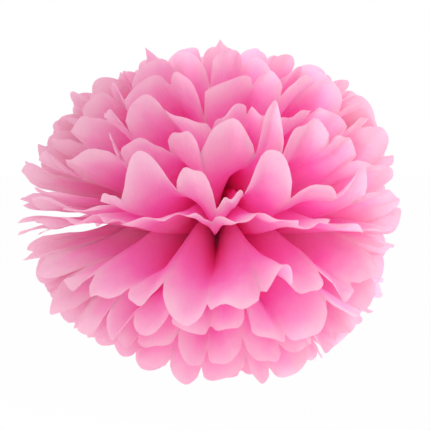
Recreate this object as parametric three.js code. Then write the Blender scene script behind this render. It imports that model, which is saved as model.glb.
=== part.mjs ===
// A tissue-paper pom-pom: twelve sheets of tissue, pleated together, pinched at the middle by one
// twisted wire and then pulled apart, six sheets upwards and six downwards, into a round flower.
//
// Units are millimetres and +Z is up. The origin is the middle of the pinch, which is also the
// middle of the ball. The folded stack runs along Y, so each sheet leaves the wire as two
// half-round fans, one to the front (-Y) and one to the back (+Y). A fan bends up and down where
// the wire pinches it, about a line through its own layer of the pinch, parallel to X.
import * as THREE from "three";
import { mergeVertices } from "three/addons/utils/BufferGeometryUtils.js";

// The ball
const BALL_WIDTH = 250;
const BALL_HEIGHT = 224;

// The sheets
const SHEETS_PER_HALF = 6;
const FIRST_TILT = 4; // degrees from the mid-plane up to the fans next to it
const TILT_STEP = 15; // degrees from one sheet to the next
const SIDE_SPREAD = 0.35; // how far a fan's sides rise with its middle, as a share
const SHEET_THICKNESS = 0.4; // a sheet with its crumples pressed together

// The pleats of one fan, with ends cut round through the whole folded stack
const PLEATS = 13;
const COLUMNS_PER_PLEAT = 3;
const FAN_HALF_ANGLE = 89.3; // degrees each way from the fan's middle
const FOLD_RISE = 2; // degrees that a fold stands above or below the middle of its fan
const SCALLOP_DEPTH = 11;

// The pinch under the wire
const LAYER_PITCH = 1.6;
const NECK_START = 0.3; // from the middle of the wire to the end of each fan's neck
const NECK_HALF_WIDTH = 3.6;
const EDGE_START = 1.4; // where a fan's two side edges leave the neck, clear of the wire
const INNERMOST_FLARE_LENGTH = 2.0;
const INNERMOST_FLARE_HALF_WIDTH = 1.6;
const FLARE_STEP = 0.8; // how much wider each sheet flares than the one inside it

// The tie wire
const WIRE_RADIUS = 0.5;
const WIRE_SIDES = 6;
const LOOP_HALF_WIDTH = 5.0;
const LOOP_HALF_HEIGHT = 10.5;
const LOOP_SQUARENESS = 2.5; // exponent of the loop's superellipse
const LOOP_MOUTH_ANGLE = 18; // degrees each side of the top where the loop turns into the stem
const STRAND_OFFSET = 0.68; // from the stem's axis to the middle of each twisted strand
const STEM_FOOT_Z = 13;
const STEM_HEIGHT = 24;
const STEM_TURNS = 3;
const EYE_RADIUS = 4.7;
const EYE_MOUTH_ANGLE = 24; // degrees each side of the bottom of the eye

const radians = THREE.MathUtils.degToRad;

// The direction of a fan's ray in the fan's own axes, with +X through its middle. A fan tilts
// like a page about its Y axis, and its sides, next to the other fan's, rise less than its middle.
function rayDirection(azimuth, tilt) {
  const sideways = Math.sin(azimuth);
  const rise = Math.sin(tilt) * (Math.cos(azimuth) + SIDE_SPREAD * sideways ** 2);
  return new THREE.Vector3(Math.cos(azimuth) * Math.cos(tilt), sideways, rise).normalize();
}

function fanNormal(azimuth, tilt) {
  const smallTurn = 0.01;
  const before = rayDirection(azimuth - smallTurn, tilt);
  const after = rayDirection(azimuth + smallTurn, tilt);
  return before.cross(after).normalize();
}

// How far a ray runs from the flare to the surface of the ball, whose outline seen from the side
// is an ellipse. The flare's own distance along the ray is taken off the radius.
function rayReach(direction, flare, layerZ) {
  const level = Math.hypot(direction.x, direction.y);
  const ballRadius = 1 / Math.hypot(level / (BALL_WIDTH / 2), direction.z / (BALL_HEIGHT / 2));
  return ballRadius - flare.dot(direction) - layerZ * direction.z;
}

// The middle surface of a fan that leaves the pinch at the origin and opens towards its own +X.
// Level 0 is the neck's inner end, 1 the ring where the flat neck turns up into the fan, and 2 the
// scalloped rim. It returns the point and the vector across the sheet there.
function fanPoint(layer, column, level) {
  const share = column / (PLEATS * COLUMNS_PER_PLEAT);
  const azimuth = radians(FAN_HALF_ANGLE) * (1 - 2 * share);
  const outward = SHEETS_PER_HALF - 1 - layer.rank;
  const flareLength = INNERMOST_FLARE_LENGTH + FLARE_STEP * outward;
  const flareHalfWidth = INNERMOST_FLARE_HALF_WIDTH + FLARE_STEP * outward;
  const up = new THREE.Vector3(0, 0, 1);

  if (level === 0) {
    const neckHalfWidth = Math.min(flareHalfWidth, NECK_HALF_WIDTH);
    const point = new THREE.Vector3(NECK_START, neckHalfWidth * (1 - 2 * share), 0);
    return { point, across: up };
  }

  const tilt = radians(layer.tilt);
  const normal = fanNormal(azimuth, tilt);
  const flare = new THREE.Vector3(
    EDGE_START + (flareLength - EDGE_START) * Math.cos(azimuth),
    flareHalfWidth * Math.sin(azimuth),
    0,
  );
  if (level === 1) {
    const mitre = up.clone().add(normal).divideScalar(1 + up.dot(normal));
    return { point: flare, across: mitre };
  }

  const acrossPleat = (column / COLUMNS_PER_PLEAT) % 1;
  const onFold = acrossPleat === 0;
  const pleat = Math.floor(column / COLUMNS_PER_PLEAT);
  const zigzag = (pleat % 2 === 0 ? 1 : -1) * (1 - 2 * acrossPleat);
  const direction = rayDirection(azimuth, tilt + radians(FOLD_RISE) * zigzag);
  const reach = rayReach(direction, flare, layer.z) - (onFold ? SCALLOP_DEPTH : 0);
  return { point: flare.addScaledVector(direction, reach), across: normal };
}

// One fan as a closed solid: a flat box whose grid of points is carried onto the fan's surface.
function fanGeometry(layer) {
  const columns = PLEATS * COLUMNS_PER_PLEAT;
  const levels = 2;
  const box = new THREE.BoxGeometry(1, 1, 1, columns, levels, 1);
  box.deleteAttribute("normal");
  box.deleteAttribute("uv");
  const positions = box.getAttribute("position");
  for (let i = 0; i < positions.count; i++) {
    const column = Math.round((positions.getX(i) + 0.5) * columns);
    const level = Math.round((positions.getY(i) + 0.5) * levels);
    const { point, across } = fanPoint(layer, column, level);
    point.addScaledVector(across, positions.getZ(i) * SHEET_THICKNESS);
    positions.setXYZ(i, point.x, point.y, point.z);
  }
  return mergeVertices(box);
}

// The line of the tie wire: down one twisted strand, round the pinch, up the other strand and
// round the hanging eye at the top. The loop round the pinch and the eye lie in the XZ plane.
function wireLine() {
  const points = [];
  const stemTopZ = STEM_FOOT_Z + STEM_HEIGHT;
  const stepsPerTurn = 10;
  const stemSteps = STEM_TURNS * stepsPerTurn;

  const strandPoint = (step, start) => {
    const turn = start + (2 * Math.PI * STEM_TURNS * step) / stemSteps;
    const z = STEM_FOOT_Z + (STEM_HEIGHT * step) / stemSteps;
    return new THREE.Vector3(STRAND_OFFSET * Math.cos(turn), STRAND_OFFSET * Math.sin(turn), z);
  };
  for (let step = stemSteps; step >= 0; step--) points.push(strandPoint(step, 0));

  const loopSteps = 26;
  for (let step = 0; step <= loopSteps; step++) {
    const angle = radians(LOOP_MOUTH_ANGLE + ((360 - 2 * LOOP_MOUTH_ANGLE) * step) / loopSteps);
    const squash = (value) => Math.sign(value) * Math.abs(value) ** (2 / LOOP_SQUARENESS);
    const x = LOOP_HALF_WIDTH * squash(Math.sin(angle));
    const z = LOOP_HALF_HEIGHT * squash(Math.cos(angle));
    points.push(new THREE.Vector3(x, 0, z));
  }

  for (let step = 0; step <= stemSteps; step++) points.push(strandPoint(step, Math.PI));

  const eyeSteps = 18;
  const eyeCentreZ = stemTopZ + EYE_RADIUS * Math.cos(radians(EYE_MOUTH_ANGLE)) + 2 * WIRE_RADIUS;
  for (let step = 0; step <= eyeSteps; step++) {
    const angle = radians(EYE_MOUTH_ANGLE + ((360 - 2 * EYE_MOUTH_ANGLE) * step) / eyeSteps);
    const x = -EYE_RADIUS * Math.sin(angle);
    const z = eyeCentreZ - EYE_RADIUS * Math.cos(angle);
    points.push(new THREE.Vector3(x, 0, z));
  }
  return new THREE.CatmullRomCurve3(points);
}

function wireGeometry() {
  const section = new THREE.Shape();
  for (let side = 0; side < WIRE_SIDES; side++) {
    const angle = (2 * Math.PI * side) / WIRE_SIDES;
    const x = WIRE_RADIUS * Math.cos(angle);
    const y = WIRE_RADIUS * Math.sin(angle);
    if (side === 0) section.moveTo(x, y);
    else section.lineTo(x, y);
  }
  const steps = 120;
  const options = { steps, extrudePath: wireLine(), bevelEnabled: false };
  const wire = new THREE.ExtrudeGeometry(section, options);
  wire.deleteAttribute("normal");
  wire.deleteAttribute("uv");
  return mergeVertices(wire);
}

const tissue = new THREE.MeshStandardMaterial({ color: 0xf483b3, roughness: 0.85, metalness: 0 });
const steel = new THREE.MeshStandardMaterial({ color: 0xb9bcc0, roughness: 0.4, metalness: 0.9 });

const pomPom = new THREE.Group();

// Sheets are numbered from the innermost upper one down to the innermost lower one.
for (let index = 0; index < 2 * SHEETS_PER_HALF; index++) {
  const upper = index < SHEETS_PER_HALF;
  const rank = upper ? SHEETS_PER_HALF - 1 - index : index - SHEETS_PER_HALF;
  const tilt = (upper ? 1 : -1) * (FIRST_TILT + TILT_STEP * rank);
  const z = (upper ? 1 : -1) * LAYER_PITCH * (rank + 0.5);
  const geometry = fanGeometry({ rank, tilt, z });
  const sheet = new THREE.Group();
  sheet.position.z = z;

  for (const side of ["front", "back"]) {
    const fan = new THREE.Mesh(geometry, tissue);
    fan.name = `sheet_${String(index + 1).padStart(2, "0")}_${side}_fan`;
    fan.rotation.z = side === "front" ? -Math.PI / 2 : Math.PI / 2;
    sheet.add(fan);
  }
  pomPom.add(sheet);
}

const tieWire = new THREE.Mesh(wireGeometry(), steel);
tieWire.name = "tie_wire";
pomPom.add(tieWire);

export default pomPom;
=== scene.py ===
"""A tissue-paper pom-pom: twelve pleated sheets of pink tissue, pinched by a twisted wire and
pulled open into a ball. Each sheet is two fans, one each side of the wire, and each fan is one
mesh that rides on its own body. Everything is in metres, with +Z up through the flower."""
import math

import bpy
import numpy as np
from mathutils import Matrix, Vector


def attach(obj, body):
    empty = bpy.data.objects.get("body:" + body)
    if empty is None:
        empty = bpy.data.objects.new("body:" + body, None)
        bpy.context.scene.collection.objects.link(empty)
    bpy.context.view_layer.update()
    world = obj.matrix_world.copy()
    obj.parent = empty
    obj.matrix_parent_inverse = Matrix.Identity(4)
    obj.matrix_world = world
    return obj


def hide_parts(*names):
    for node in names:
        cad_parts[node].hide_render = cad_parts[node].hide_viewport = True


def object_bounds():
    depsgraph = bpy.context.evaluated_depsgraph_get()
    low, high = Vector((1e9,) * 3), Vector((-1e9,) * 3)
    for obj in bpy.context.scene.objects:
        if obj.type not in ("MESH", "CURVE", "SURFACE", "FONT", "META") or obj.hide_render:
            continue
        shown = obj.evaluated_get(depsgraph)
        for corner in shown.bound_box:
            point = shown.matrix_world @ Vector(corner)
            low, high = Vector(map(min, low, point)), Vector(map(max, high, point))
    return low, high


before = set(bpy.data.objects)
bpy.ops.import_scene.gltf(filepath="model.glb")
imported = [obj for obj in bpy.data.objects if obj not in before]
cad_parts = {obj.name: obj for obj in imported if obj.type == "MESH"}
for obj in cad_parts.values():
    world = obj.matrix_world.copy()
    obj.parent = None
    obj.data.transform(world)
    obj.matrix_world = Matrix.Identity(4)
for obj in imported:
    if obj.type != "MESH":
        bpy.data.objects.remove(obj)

CAD_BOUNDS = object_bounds()

# The sheets as they were cut. A fan is half of a sheet.
PLEATS = 13
SHEET_WIDTH = 0.38
HALF_LENGTH = 0.125
PLEAT_WIDTH = SHEET_WIDTH / PLEATS
SCALLOP_DEPTH = 0.011

# The pinch, where the sheets lie flat on each other
WIRE = "tie_wire"
LAYER_PITCH = 0.0016
NECK_HALF_WIDTH = 0.0033
NECK_LENGTH = 0.014
NECK_PLEAT_HEIGHT = 0.0003

# How the fans are pulled open, with angles in degrees. Sheets 1 to 6 tilt up and 7 to 12 down,
# and 6 and 7 are next to the mid-plane. A fan counts more and more as steep between the two
# STEEP_TILTS. It spreads PARTING_ANGLE to each side, where it rises less than in its middle.
SHEETS_PER_HALF = 6
FIRST_TILT = 4.0
TILT_STEP = 15.0
STEEP_TILTS = (20.0, 70.0)
PARTING_ANGLE = 89.3
SIDE_SPREAD = 0.35

# The two ends of a fan as the camera sees them: how many pleats from its right end each begins
# and is complete
LEFT_END = (0.74 * PLEATS, 0.74 * PLEATS + 2.5)
RIGHT_END = (0.17 * PLEATS, 0.17 * PLEATS - 1.5)

# The height of the pleats: a share of the radius at most, and less where they open, which is
# between these shares of HALF_LENGTH. Fans near the mid-plane open at the rim, and most of all at
# their left ends, the blades. The pleats at the right ends turn their faces to the front.
MAX_PLEAT_SLOPE = 0.8
RIM_OPENING = 0.6
RIM_OPENS = (0.35, 0.85)
BLADE_OPENING = 0.9
BLADE_OPENS = (0.25, 0.75)
RIGHT_END_TURN = 0.006

# How soft a fold is at the pinch, and how much softer it gets towards the rim
FOLD_SOFTNESS = 0.3
RIM_SOFTNESS = 0.5

# How far the folds and petals wander, as standard deviations in metres or degrees. All the sheets
# share one part of it. The other part is each fan's own. The lower fans lift, cup and curl more,
# by LOWER_WANDER, and the steep fans wander less, by the two STEEP shares. At its sides a fan
# lifts, cups and curls only SIDE_WANDER as far.
SHARED_SEED = 11
SHARED_AZIMUTH = 1.6
SHARED_LIFT = 0.004
SHARED_CUP = 0.005
SHARED_CURL = 0.008
FAN_SEED = {"front": 71, "back": 72}
OWN_AZIMUTH = 2.6
OWN_LIFT = 0.0035
OWN_CUP = 0.006
OWN_CURL = 0.006
LOWER_WANDER = 1.35
STEEP_CALM = 0.75
STEEP_AZIMUTH_CALM = 0.7
SIDE_WANDER = 0.3
FOLD_LENGTH = 0.0028
PETAL_LENGTH = 0.0015

# The petals' ends: how deep the notches beside them are, as shares of SCALLOP_DEPTH, with a few
# pointed petals, and how far the ends reach past the ball or stay inside it
ROUND_PETALS = (0.7, 1.4)
POINTED_SHARE = 0.12
POINTED_EXTRA = 1.0
LEFT_END_EXTRA = 1.6
RIGHT_END_EXTRA = 0.8
BLADE_REACH = 0.005
RIM_INSET = 0.003

# How far the tips curl away from the mid-plane. The curl starts at TIP_START of HALF_LENGTH, has
# this size TIP_LENGTH further, and stops growing at TIP_MOST times that length. A petal's edges
# curl TONGUE_EDGE as far.
TIP_CURL = 0.011
STEEP_CURL_CALM = 0.6
TIP_START = 0.6
TIP_LENGTH = 0.35
TIP_MOST = 1.3
TONGUE_EDGE = 0.6

# The creases: how many waves are added up, how high, how close and how slanted they are, and how
# many times as high again they get at the rim
CREASES = 9
CREASE_HEIGHT = 0.0003
CREASES_PER_PLEAT = (0.5, 2.2)
CREASE_SLANT = 16.0
RIM_CREASES = 1.5

# The grid of one fan. Its rows get closer together towards the rim.
COLUMNS_PER_PLEAT = 12
ROWS = 38
ROW_POWER = 0.85

# Sheet 7 makes one wavy lip across the front, flatter and calmer than the others. Each fold's end
# stands this many millimetres off the fan there, from right to left.
LIP_SHEET = 7
LIP_FLATNESS = 0.76
LIP_CALM = 0.06
LIP_LIFT = [2, -2, -3, 1, 6, 11, 13, 16, 15, 11, 12, 7, 3, 3]

# Two narrow torn tips stand up from the top sheet's front fan: how many pleats each is from the
# fan's right end, and how far it stands out.
TORN_TIPS = {6.5: 0.005, 8.4: 0.010}
TORN_TIP_WIDTH = 0.08

# How much more the middle petals of the front fans near the lip curl, or less where it is
# negative, and over how many degrees
FRONT_CURL = {5: 0.010, 6: 0.006, 8: -0.005, 9: -0.003}
FRONT_CURL_ANGLE = 35.0

# The paper's colours, for the light that comes back and the light that comes through. The deep ones
# are its own pink. The pale ones are painted towards the rims and sides of the sheets as a painted
# glow of light through the thin tips and at the ball's left and right flanks, and random blotches of
# paler tone also reach them.
DIFFUSE_DEEP = (0.995, 0.36, 0.76, 1.0)
DIFFUSE_GLOW_AND_BLOTCH = (0.945, 0.70, 0.80, 1.0)
TRANSLUCENT_DEEP = (0.995, 0.21, 0.68, 1.0)
TRANSLUCENT_GLOW_AND_BLOTCH = (0.955, 0.53, 0.72, 1.0)
LIGHT_THROUGH = 0.5


def smoothstep(x):
    x = np.clip(x, 0.0, 1.0)
    return x * x * (3.0 - 2.0 * x)


def ramp(x, start, end):
    """From 0 at start to 1 at end, smoothly."""
    return smoothstep((x - start) / (end - start))


def bell(x, middle, width):
    return np.exp(-((x - middle) / width) ** 2)


def pleat_wave(across, softness):
    """+1 and -1 on alternate folds: straight between them when softness is 0, a cosine at 1."""
    triangle = 2.0 * np.abs(across % 2.0 - 1.0) - 1.0
    return (1.0 - softness) * triangle + softness * np.cos(math.pi * across)


def between_folds(values, across):
    """Values given at the folds, read smoothly at places between them."""
    fold = np.clip(np.floor(across).astype(int), 0, PLEATS - 1)
    share = across - fold
    return values[fold] * (1.0 - share) + values[fold + 1] * share


def ray_directions(azimuth, tilt):
    """Unit vectors of a fan's rays, with +X through its middle. It tilts like a page about its
    Y axis, and its sides rise less than its middle."""
    sideways = np.sin(azimuth)
    rise = math.sin(tilt) * (np.cos(azimuth) + SIDE_SPREAD * sideways ** 2)
    rays = np.stack([np.cos(azimuth) * math.cos(tilt), sideways, rise], axis=-1)
    return rays / np.linalg.norm(rays, axis=-1, keepdims=True)


def fan_normals(azimuth, tilt):
    small_angle = 0.01
    before = ray_directions(azimuth - small_angle, tilt)
    after = ray_directions(azimuth + small_angle, tilt)
    normals = np.cross(before, after)
    return normals / np.linalg.norm(normals, axis=-1, keepdims=True)


def ball_radius(rays):
    """The radius of the CAD model's ellipsoid along each ray."""
    half_width = (CAD_BOUNDS[1][0] - CAD_BOUNDS[0][0]) / 2
    half_height = (CAD_BOUNDS[1][2] - CAD_BOUNDS[0][2]) / 2
    level = np.hypot(rays[..., 0], rays[..., 1])
    return 1.0 / np.hypot(level / half_width, rays[..., 2] / half_height)


def creases(rng, across, radius):
    """Small soft creases that run mostly along the pleats: a few random waves added up."""
    total = 0.0 * across * radius
    for _ in range(CREASES):
        waves_per_pleat = rng.uniform(*CREASES_PER_PLEAT)
        waves_per_metre = rng.normal(0.0, CREASE_SLANT)
        phase = rng.uniform(0.0, 2.0 * math.pi)
        total += np.sin(2.0 * math.pi * (waves_per_pleat * across + waves_per_metre * radius) + phase)
    return total * CREASE_HEIGHT


class Fan:
    """One fan, opening towards +X. Its points are a grid of columns, counted in pleats across the
    fan from +Y to -Y, by rows along them from the pinch to the rim."""

    def __init__(self, rng, shared, front, number):
        upper = number <= SHEETS_PER_HALF
        rank = SHEETS_PER_HALF - number if upper else number - SHEETS_PER_HALF - 1
        self.rng = rng
        self.shared = shared
        self.half = 1.0 if upper else -1.0
        self.tilt = self.half * math.radians(FIRST_TILT + TILT_STEP * rank)
        self.layer_z = self.half * LAYER_PITCH * (rank + 0.5)
        self.is_lip = front and number == LIP_SHEET
        self.torn_tips = TORN_TIPS if front and number == 1 else {}
        self.front_curl = FRONT_CURL.get(number, 0.0) if front else 0.0
        self.steep = ramp(abs(math.degrees(self.tilt)), *STEEP_TILTS)
        self.calm = LIP_CALM if self.is_lip else 1.0
        self.wander = (1.0 - STEEP_CALM * self.steep) * self.calm
        self.wander *= 1.0 if upper else LOWER_WANDER

        columns = PLEATS * COLUMNS_PER_PLEAT + 1
        self.across = np.linspace(0.0, PLEATS, columns)[:, None]
        self.pleat = np.clip(np.floor(self.across).astype(int), 0, PLEATS - 1)
        self.share = self.across - self.pleat
        from_right = self.across if front else PLEATS - self.across
        self.left_end = ramp(from_right, *LEFT_END)
        self.right_end = ramp(from_right, *RIGHT_END)
        self.blade = self.left_end * (1.0 - self.steep)

    def fold_azimuths(self):
        """Where the folds are near the pinch, where all the sheets share them, and at the rim."""
        shared = math.radians(PARTING_ANGLE) * (1.0 - 2.0 * np.arange(PLEATS + 1) / PLEATS)
        shared = shared + self.shared["azimuth"]
        own = self.calm * self.rng.normal(0.0, math.radians(OWN_AZIMUTH), PLEATS + 1)
        own = own * (1.0 - STEEP_AZIMUTH_CALM * self.steep)
        own[0] = own[-1] = 0.0
        return shared, shared + own

    def column_lengths(self, rim_rays):
        """How far each column reaches: a round end on every pleat, and a little more or less
        paper."""
        notch = self.rng.uniform(*ROUND_PETALS, PLEATS)
        notch = (notch + POINTED_EXTRA * (self.rng.random(PLEATS) < POINTED_SHARE))[self.pleat]
        notch = notch + LEFT_END_EXTRA * self.left_end + RIGHT_END_EXTRA * self.right_end
        round_end = SCALLOP_DEPTH * notch * (1.0 - np.sqrt(1.0 - (2.0 * self.share - 1.0) ** 2))
        uneven = between_folds(self.rng.normal(0.0, FOLD_LENGTH, PLEATS + 1), self.across)
        uneven = uneven * (1.0 + self.right_end)
        petal_length = self.rng.normal(0.0, PETAL_LENGTH, PLEATS)[self.pleat]
        uneven = uneven + petal_length * np.sin(math.pi * self.share)
        inset = (1.0 - self.steep) * (1.0 - self.left_end) + self.right_end
        lengths = ball_radius(rim_rays) - np.abs(self.layer_z * rim_rays[..., 2])
        lengths = lengths - round_end + uneven + BLADE_REACH * self.blade - RIM_INSET * inset
        for place, height in self.torn_tips.items():
            lengths = lengths + height * bell(self.across, place, TORN_TIP_WIDTH)
        return lengths

    def pleat_heights(self, fold_azimuth, radius, openness):
        """The pleats keep their width, so they stand tall where the fan is narrow."""
        gaps = np.linalg.norm(np.diff(ray_directions(fold_azimuth, self.tilt), axis=0), axis=-1)
        gap_at_fold = 0.5 * (np.append(gaps, gaps[-1]) + np.insert(gaps, 0, gaps[0]))
        chord = radius * between_folds(gap_at_fold, self.across)
        spare = np.sqrt(np.clip(PLEAT_WIDTH ** 2 - chord ** 2, 0.0, None))
        height = np.minimum(0.5 * spare, MAX_PLEAT_SLOPE * radius)
        height = height * (1.0 - RIM_OPENING * ramp(openness, *RIM_OPENS) * (1.0 - self.steep))
        height = height * (1.0 - BLADE_OPENING * self.blade * ramp(openness, *BLADE_OPENS))
        if self.is_lip:
            height = height * LIP_FLATNESS
        return height + RIGHT_END_TURN * self.right_end * smoothstep(openness)

    def rim_wander(self, azimuth, openness):
        """How far the folds lift off the fan, and the petals cup between them and curl at their
        tips. Steep fans stand close together, so they wander together. The sides wander less."""
        fold_lift = self.shared["lift"] + self.wander * self.rng.normal(0.0, OWN_LIFT, PLEATS + 1)
        if self.is_lip:
            fold_lift = np.array(LIP_LIFT) / 1000.0
        middle = np.sqrt(np.clip(np.cos(azimuth), 0.0, 1.0))
        side_share = SIDE_WANDER + (1.0 - SIDE_WANDER) * middle
        lift = between_folds(fold_lift, self.across) * side_share
        bulge = np.sin(math.pi * self.share) * side_share
        cup = self.wander * self.rng.normal(0.0, OWN_CUP, PLEATS) + self.steep * self.shared["cup"]
        cup = cup[self.pleat] * bulge * (1.0 - self.blade)
        curl = self.wander * self.rng.normal(0.0, OWN_CURL, PLEATS) + self.steep * self.shared["curl"]
        curl = curl[self.pleat] * bulge * (1.0 - self.blade)
        tip_curl = self.calm * TIP_CURL * (1.0 - STEEP_CURL_CALM * self.steep) * middle
        tip_curl = tip_curl + self.front_curl * bell(azimuth, 0.0, math.radians(FRONT_CURL_ANGLE))
        tongue = TONGUE_EDGE + (1.0 - TONGUE_EDGE) * np.sqrt(bulge)
        curl = curl + self.half * tip_curl * tongue
        tip = np.clip((openness - TIP_START) / TIP_LENGTH, 0.0, TIP_MOST) ** 2
        return (lift + cup) * openness ** 2 + curl * tip

    def points(self):
        """The points of the fan, as an array of columns by rows by XYZ."""
        fold_azimuth, rim_fold_azimuth = self.fold_azimuths()
        rim_azimuth = between_folds(rim_fold_azimuth, self.across)
        along = np.linspace(0.0, 1.0, ROWS)[None, :] ** ROW_POWER
        radius = self.column_lengths(ray_directions(rim_azimuth, self.tilt)) * along
        openness = radius / HALF_LENGTH
        azimuth = between_folds(fold_azimuth, self.across) * (1.0 - smoothstep(openness))
        azimuth = azimuth + rim_azimuth * smoothstep(openness)

        wave = pleat_wave(self.across, FOLD_SOFTNESS + RIM_SOFTNESS * openness)
        offset = wave * self.pleat_heights(fold_azimuth, radius, openness)
        offset = offset + self.rim_wander(azimuth, openness)
        ruffle = smoothstep(1.3 * openness) + RIM_CREASES * ramp(openness, 0.75, 1.0)
        offset = offset + creases(self.rng, self.across, radius) * ruffle
        fan = radius[..., None] * ray_directions(azimuth, self.tilt)
        fan = fan + offset[..., None] * fan_normals(azimuth, self.tilt)
        fan[..., 2] += self.layer_z

        neck_y = NECK_HALF_WIDTH * (1.0 - 2.0 * self.across / PLEATS) + 0.0 * radius
        neck = np.stack([radius, neck_y, self.layer_z + NECK_PLEAT_HEIGHT * wave], axis=-1)
        opened = smoothstep(radius / NECK_LENGTH)[..., None]
        return neck * (1.0 - opened) + fan * opened


def grid_mesh(name, points, sheet_size):
    """A mesh over a grid of points, with the flat paper as its UV map."""
    columns, rows = points.shape[:2]
    index = np.arange(columns * rows).reshape(columns, rows)
    quads = np.stack([index[:-1, :-1], index[1:, :-1], index[1:, 1:], index[:-1, 1:]], axis=-1)
    mesh = bpy.data.meshes.new(name)
    mesh.from_pydata(points.reshape(-1, 3).tolist(), [], quads.reshape(-1, 4).tolist())
    paper_u = np.repeat(np.linspace(0.0, sheet_size[0], columns), rows)
    paper_v = np.tile(np.linspace(0.0, sheet_size[1], rows), columns)
    layer = mesh.uv_layers.new(name="paper")
    corners = np.empty(len(mesh.loops), dtype=int)
    mesh.loops.foreach_get("vertex_index", corners)
    layer.data.foreach_set("uv", np.stack([paper_u[corners], paper_v[corners]], axis=-1).ravel())
    mesh.shade_smooth()
    mesh.update()
    return mesh


def new_material(name):
    material = bpy.data.materials.new(name)
    material.use_nodes = True
    material.node_tree.nodes.clear()
    return material, material.node_tree.nodes, material.node_tree.links


def noise(nodes, links, vector, scale, detail):
    texture = nodes.new("ShaderNodeTexNoise")
    texture.inputs["Scale"].default_value = scale
    texture.inputs["Detail"].default_value = detail
    links.new(vector, texture.inputs["Vector"])
    return texture


def map_range(nodes, links, value, source, target=(0.0, 1.0)):
    node = nodes.new("ShaderNodeMapRange")
    node.inputs["From Min"].default_value, node.inputs["From Max"].default_value = source
    node.inputs["To Min"].default_value, node.inputs["To Max"].default_value = target
    links.new(value, node.inputs["Value"])
    return node.outputs["Result"]


def math_node(nodes, links, operation, value):
    node = nodes.new("ShaderNodeMath")
    node.operation = operation
    links.new(value, node.inputs[0])
    return node


def painted_glow_and_blotches(nodes, links, paper):
    """How far the colour goes from the deep pink to the pale one, from 0 to 1: painted light towards
    the cut edges at the rim, as the glow of light through the thin tips, and towards the sheet's
    sides, as light at the ball's flanks, plus random blotches of paler tone.
    """
    place = nodes.new("ShaderNodeSeparateXYZ")
    links.new(paper, place.inputs["Vector"])
    # Painted glow: the outer third of each fan and the sheet's sides turn pale, standing in for light
    # through the tips and at the ball's flanks.
    rim = (0.66 * HALF_LENGTH, HALF_LENGTH)
    rim_glow = map_range(nodes, links, place.outputs["Y"], rim)
    from_middle = math_node(nodes, links, "SUBTRACT", place.outputs["X"])
    from_middle.inputs[1].default_value = 0.5 * SHEET_WIDTH
    sideways = math_node(nodes, links, "ABSOLUTE", from_middle.outputs["Value"])
    sides = (0.25 * SHEET_WIDTH, 0.5 * SHEET_WIDTH)
    side_glow = map_range(nodes, links, sideways.outputs["Value"], sides, (0.0, 0.6))
    edge_glow = math_node(nodes, links, "ADD", rim_glow)
    links.new(side_glow, edge_glow.inputs[1])
    coordinates = nodes.new("ShaderNodeTexCoord")
    cloud = noise(nodes, links, coordinates.outputs["Object"], scale=90.0, detail=5.0)
    blotch = map_range(nodes, links, cloud.outputs["Fac"], (0.0, 1.0), (-0.35, 0.35))
    total = math_node(nodes, links, "ADD", edge_glow.outputs["Value"])
    total.use_clamp = True
    links.new(blotch, total.inputs[1])
    return total.outputs["Value"]


def wrinkles(nodes, links, paper):
    """Fine wrinkles along the pleats, as a bumped normal."""
    stretch = nodes.new("ShaderNodeMapping")
    stretch.inputs["Scale"].default_value = (900.0, 160.0, 1.0)
    links.new(paper, stretch.inputs["Vector"])
    texture = noise(nodes, links, stretch.outputs["Vector"], scale=0.5, detail=6.0)
    texture.inputs["Roughness"].default_value = 0.6
    bump = nodes.new("ShaderNodeBump")
    bump.inputs["Strength"].default_value = 0.5
    bump.inputs["Distance"].default_value = 0.0012
    links.new(texture.outputs["Fac"], bump.inputs["Height"])
    return bump.outputs["Normal"]


def tissue_material():
    """Thin dyed paper: half of the light comes back and half comes through, both pink."""
    material, nodes, links = new_material("pink_tissue")
    output = nodes.new("ShaderNodeOutputMaterial")
    mix = nodes.new("ShaderNodeMixShader")
    diffuse = nodes.new("ShaderNodeBsdfDiffuse")
    translucent = nodes.new("ShaderNodeBsdfTranslucent")
    mix.inputs["Fac"].default_value = LIGHT_THROUGH
    links.new(diffuse.outputs["BSDF"], mix.inputs[1])
    links.new(translucent.outputs["BSDF"], mix.inputs[2])
    links.new(mix.outputs["Shader"], output.inputs["Surface"])

    paper = nodes.new("ShaderNodeUVMap")
    paper.uv_map = "paper"
    # The pale colour is a painted glow of light at the rims and sides, mixed with random blotches of
    # paler tone.
    glow_and_blotch_share = painted_glow_and_blotches(nodes, links, paper.outputs["UV"])
    normal = wrinkles(nodes, links, paper.outputs["UV"])
    for shader, deep, pale in (
        (diffuse, DIFFUSE_DEEP, DIFFUSE_GLOW_AND_BLOTCH),
        (translucent, TRANSLUCENT_DEEP, TRANSLUCENT_GLOW_AND_BLOTCH),
    ):
        colours = nodes.new("ShaderNodeValToRGB")
        colours.color_ramp.elements[0].color = deep
        colours.color_ramp.elements[1].color = pale
        links.new(glow_and_blotch_share, colours.inputs["Fac"])
        links.new(colours.outputs["Color"], shader.inputs["Color"])
        links.new(normal, shader.inputs["Normal"])
    return material


def wire_material():
    """Galvanised wire: grey metal, a little blotchy and dull."""
    material, nodes, links = new_material("galvanised_wire")
    output = nodes.new("ShaderNodeOutputMaterial")
    metal = nodes.new("ShaderNodeBsdfPrincipled")
    metal.inputs["Metallic"].default_value = 1.0
    links.new(metal.outputs["BSDF"], output.inputs["Surface"])
    coordinates = nodes.new("ShaderNodeTexCoord")
    blotches = noise(nodes, links, coordinates.outputs["Object"], scale=700.0, detail=4.0)
    colour = nodes.new("ShaderNodeValToRGB")
    colour.color_ramp.elements[0].color = (0.42, 0.43, 0.45, 1.0)
    colour.color_ramp.elements[1].color = (0.68, 0.69, 0.70, 1.0)
    links.new(blotches.outputs["Fac"], colour.inputs["Fac"])
    links.new(colour.outputs["Color"], metal.inputs["Base Color"])
    roughness = map_range(nodes, links, blotches.outputs["Fac"], (0.0, 1.0), (0.3, 0.55))
    links.new(roughness, metal.inputs["Roughness"])
    return material


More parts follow.
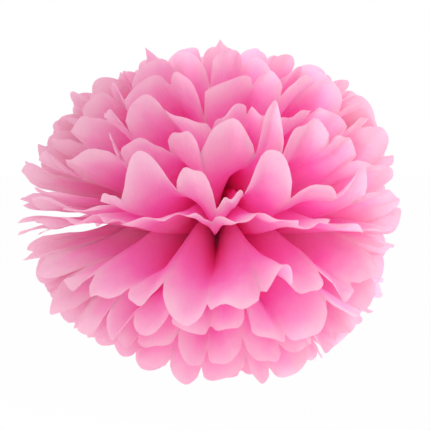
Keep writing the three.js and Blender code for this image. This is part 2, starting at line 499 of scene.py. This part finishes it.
def shared_wander(front):
    """How the folds and petals of all the sheets wander together. The folds run on through the
    pinch, so the back fans mirror the front ones and the two nest where they meet."""
    rng = np.random.default_rng(SHARED_SEED)
    wander = {
        "azimuth": rng.normal(0.0, math.radians(SHARED_AZIMUTH), PLEATS + 1),
        "lift": rng.normal(0.0, SHARED_LIFT, PLEATS + 1),
        "cup": rng.normal(0.0, SHARED_CUP, PLEATS),
        "curl": rng.normal(0.0, SHARED_CURL, PLEATS),
    }
    wander["azimuth"][0] = wander["azimuth"][-1] = 0.0
    if front:
        return wander
    return {name: -values[::-1] for name, values in wander.items()}


def make_fan(side, number, points, tissue):
    """The mesh of one fan, which stands for its CAD node and rides on its body."""
    node = f"sheet_{number:02d}_{side}_fan"
    flat_size = (SHEET_WIDTH, HALF_LENGTH)
    mesh = grid_mesh(f"petals_{number:02d}_{side}", points, flat_size)
    mesh.materials.append(tissue)
    fan = bpy.data.objects.new(f"petals_{number:02d}_{side}", mesh)
    bpy.context.scene.collection.objects.link(fan)
    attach(fan, node)
    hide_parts(node)


def make_fans(tissue):
    """The front fans are turned to open towards -Y, and the back ones towards +Y."""
    for side, turn in (("front", -1.0), ("back", 1.0)):
        front = side == "front"
        shared = shared_wander(front)
        for number in range(1, 2 * SHEETS_PER_HALF + 1):
            rng = np.random.default_rng(1000 * number + FAN_SEED[side])
            x, y, z = np.moveaxis(Fan(rng, shared, front, number).points(), -1, 0)
            make_fan(side, number, np.stack([-turn * y, turn * x, z], axis=-1), tissue)


def make_camera():
    """The camera looks a little down, and from a little left of the middle of the front fans."""
    target = Vector((-0.0017, 0.0, -0.0017))
    distance = 0.95
    azimuth = math.radians(-5.0)
    elevation = math.radians(3.0)
    frame_width = 0.2867
    level = distance * math.cos(elevation)
    height = distance * math.sin(elevation)
    offset = Vector((level * math.sin(azimuth), -level * math.cos(azimuth), height))
    camera_data = bpy.data.cameras.new("camera")
    camera_data.sensor_width = 36.0
    camera_data.lens = camera_data.sensor_width * distance / frame_width
    camera = bpy.data.objects.new("camera", camera_data)
    camera.location = target + offset
    camera.rotation_euler = (-offset).to_track_quat("-Z", "Y").to_euler()
    bpy.context.scene.collection.objects.link(camera)
    bpy.context.scene.camera = camera


def make_key_light():
    """A soft, slightly warm light from the right and a little behind, which shows through the
    petals there."""
    light_data = bpy.data.lights.new("key", "AREA")
    light_data.shape = "DISK"
    light_data.size = 0.8
    light_data.energy = 14.0
    light_data.color = (1.0, 0.96, 0.90)
    light = bpy.data.objects.new("key", light_data)
    light.location = (1.1, 0.5, 0.3)
    light.rotation_euler = (-light.location).to_track_quat("-Z", "Y").to_euler()
    bpy.context.scene.collection.objects.link(light)


def make_floor():
    half_size = 30.0
    drop = 0.6
    floor_z = CAD_BOUNDS[0][2] - drop
    corners = [
        (x * half_size, y * half_size, floor_z)
        for x, y in ((-1, -1), (1, -1), (1, 1), (-1, 1))
    ]
    material, nodes, links = new_material("pale_floor")
    output = nodes.new("ShaderNodeOutputMaterial")
    diffuse = nodes.new("ShaderNodeBsdfDiffuse")
    diffuse.inputs["Color"].default_value = (0.99, 0.99, 0.99, 1.0)
    links.new(diffuse.outputs["BSDF"], output.inputs["Surface"])
    mesh = bpy.data.meshes.new("floor")
    mesh.from_pydata(corners, [], [(0, 1, 2, 3)])
    mesh.materials.append(material)
    floor = bpy.data.objects.new("floor", mesh)
    bpy.context.scene.collection.objects.link(floor)


def make_studio():
    """A white surround. Light goes through many sheets here, so it needs many bounces."""
    scene = bpy.context.scene
    world = bpy.data.worlds.new("studio")
    world.use_nodes = True
    background = world.node_tree.nodes["Background"]
    background.inputs["Color"].default_value = (1.0, 1.0, 1.0, 1.0)
    background.inputs["Strength"].default_value = 1.0
    scene.world = world
    scene.view_settings.view_transform = "Standard"
    scene.cycles.max_bounces = 24
    scene.cycles.diffuse_bounces = 20
    scene.cycles.transmission_bounces = 20
    make_key_light()
    make_floor()


make_camera()
make_studio()
make_fans(tissue_material())
wire_materials = bpy.data.objects[WIRE].data.materials
wire_materials.clear()
wire_materials.append(wire_material())
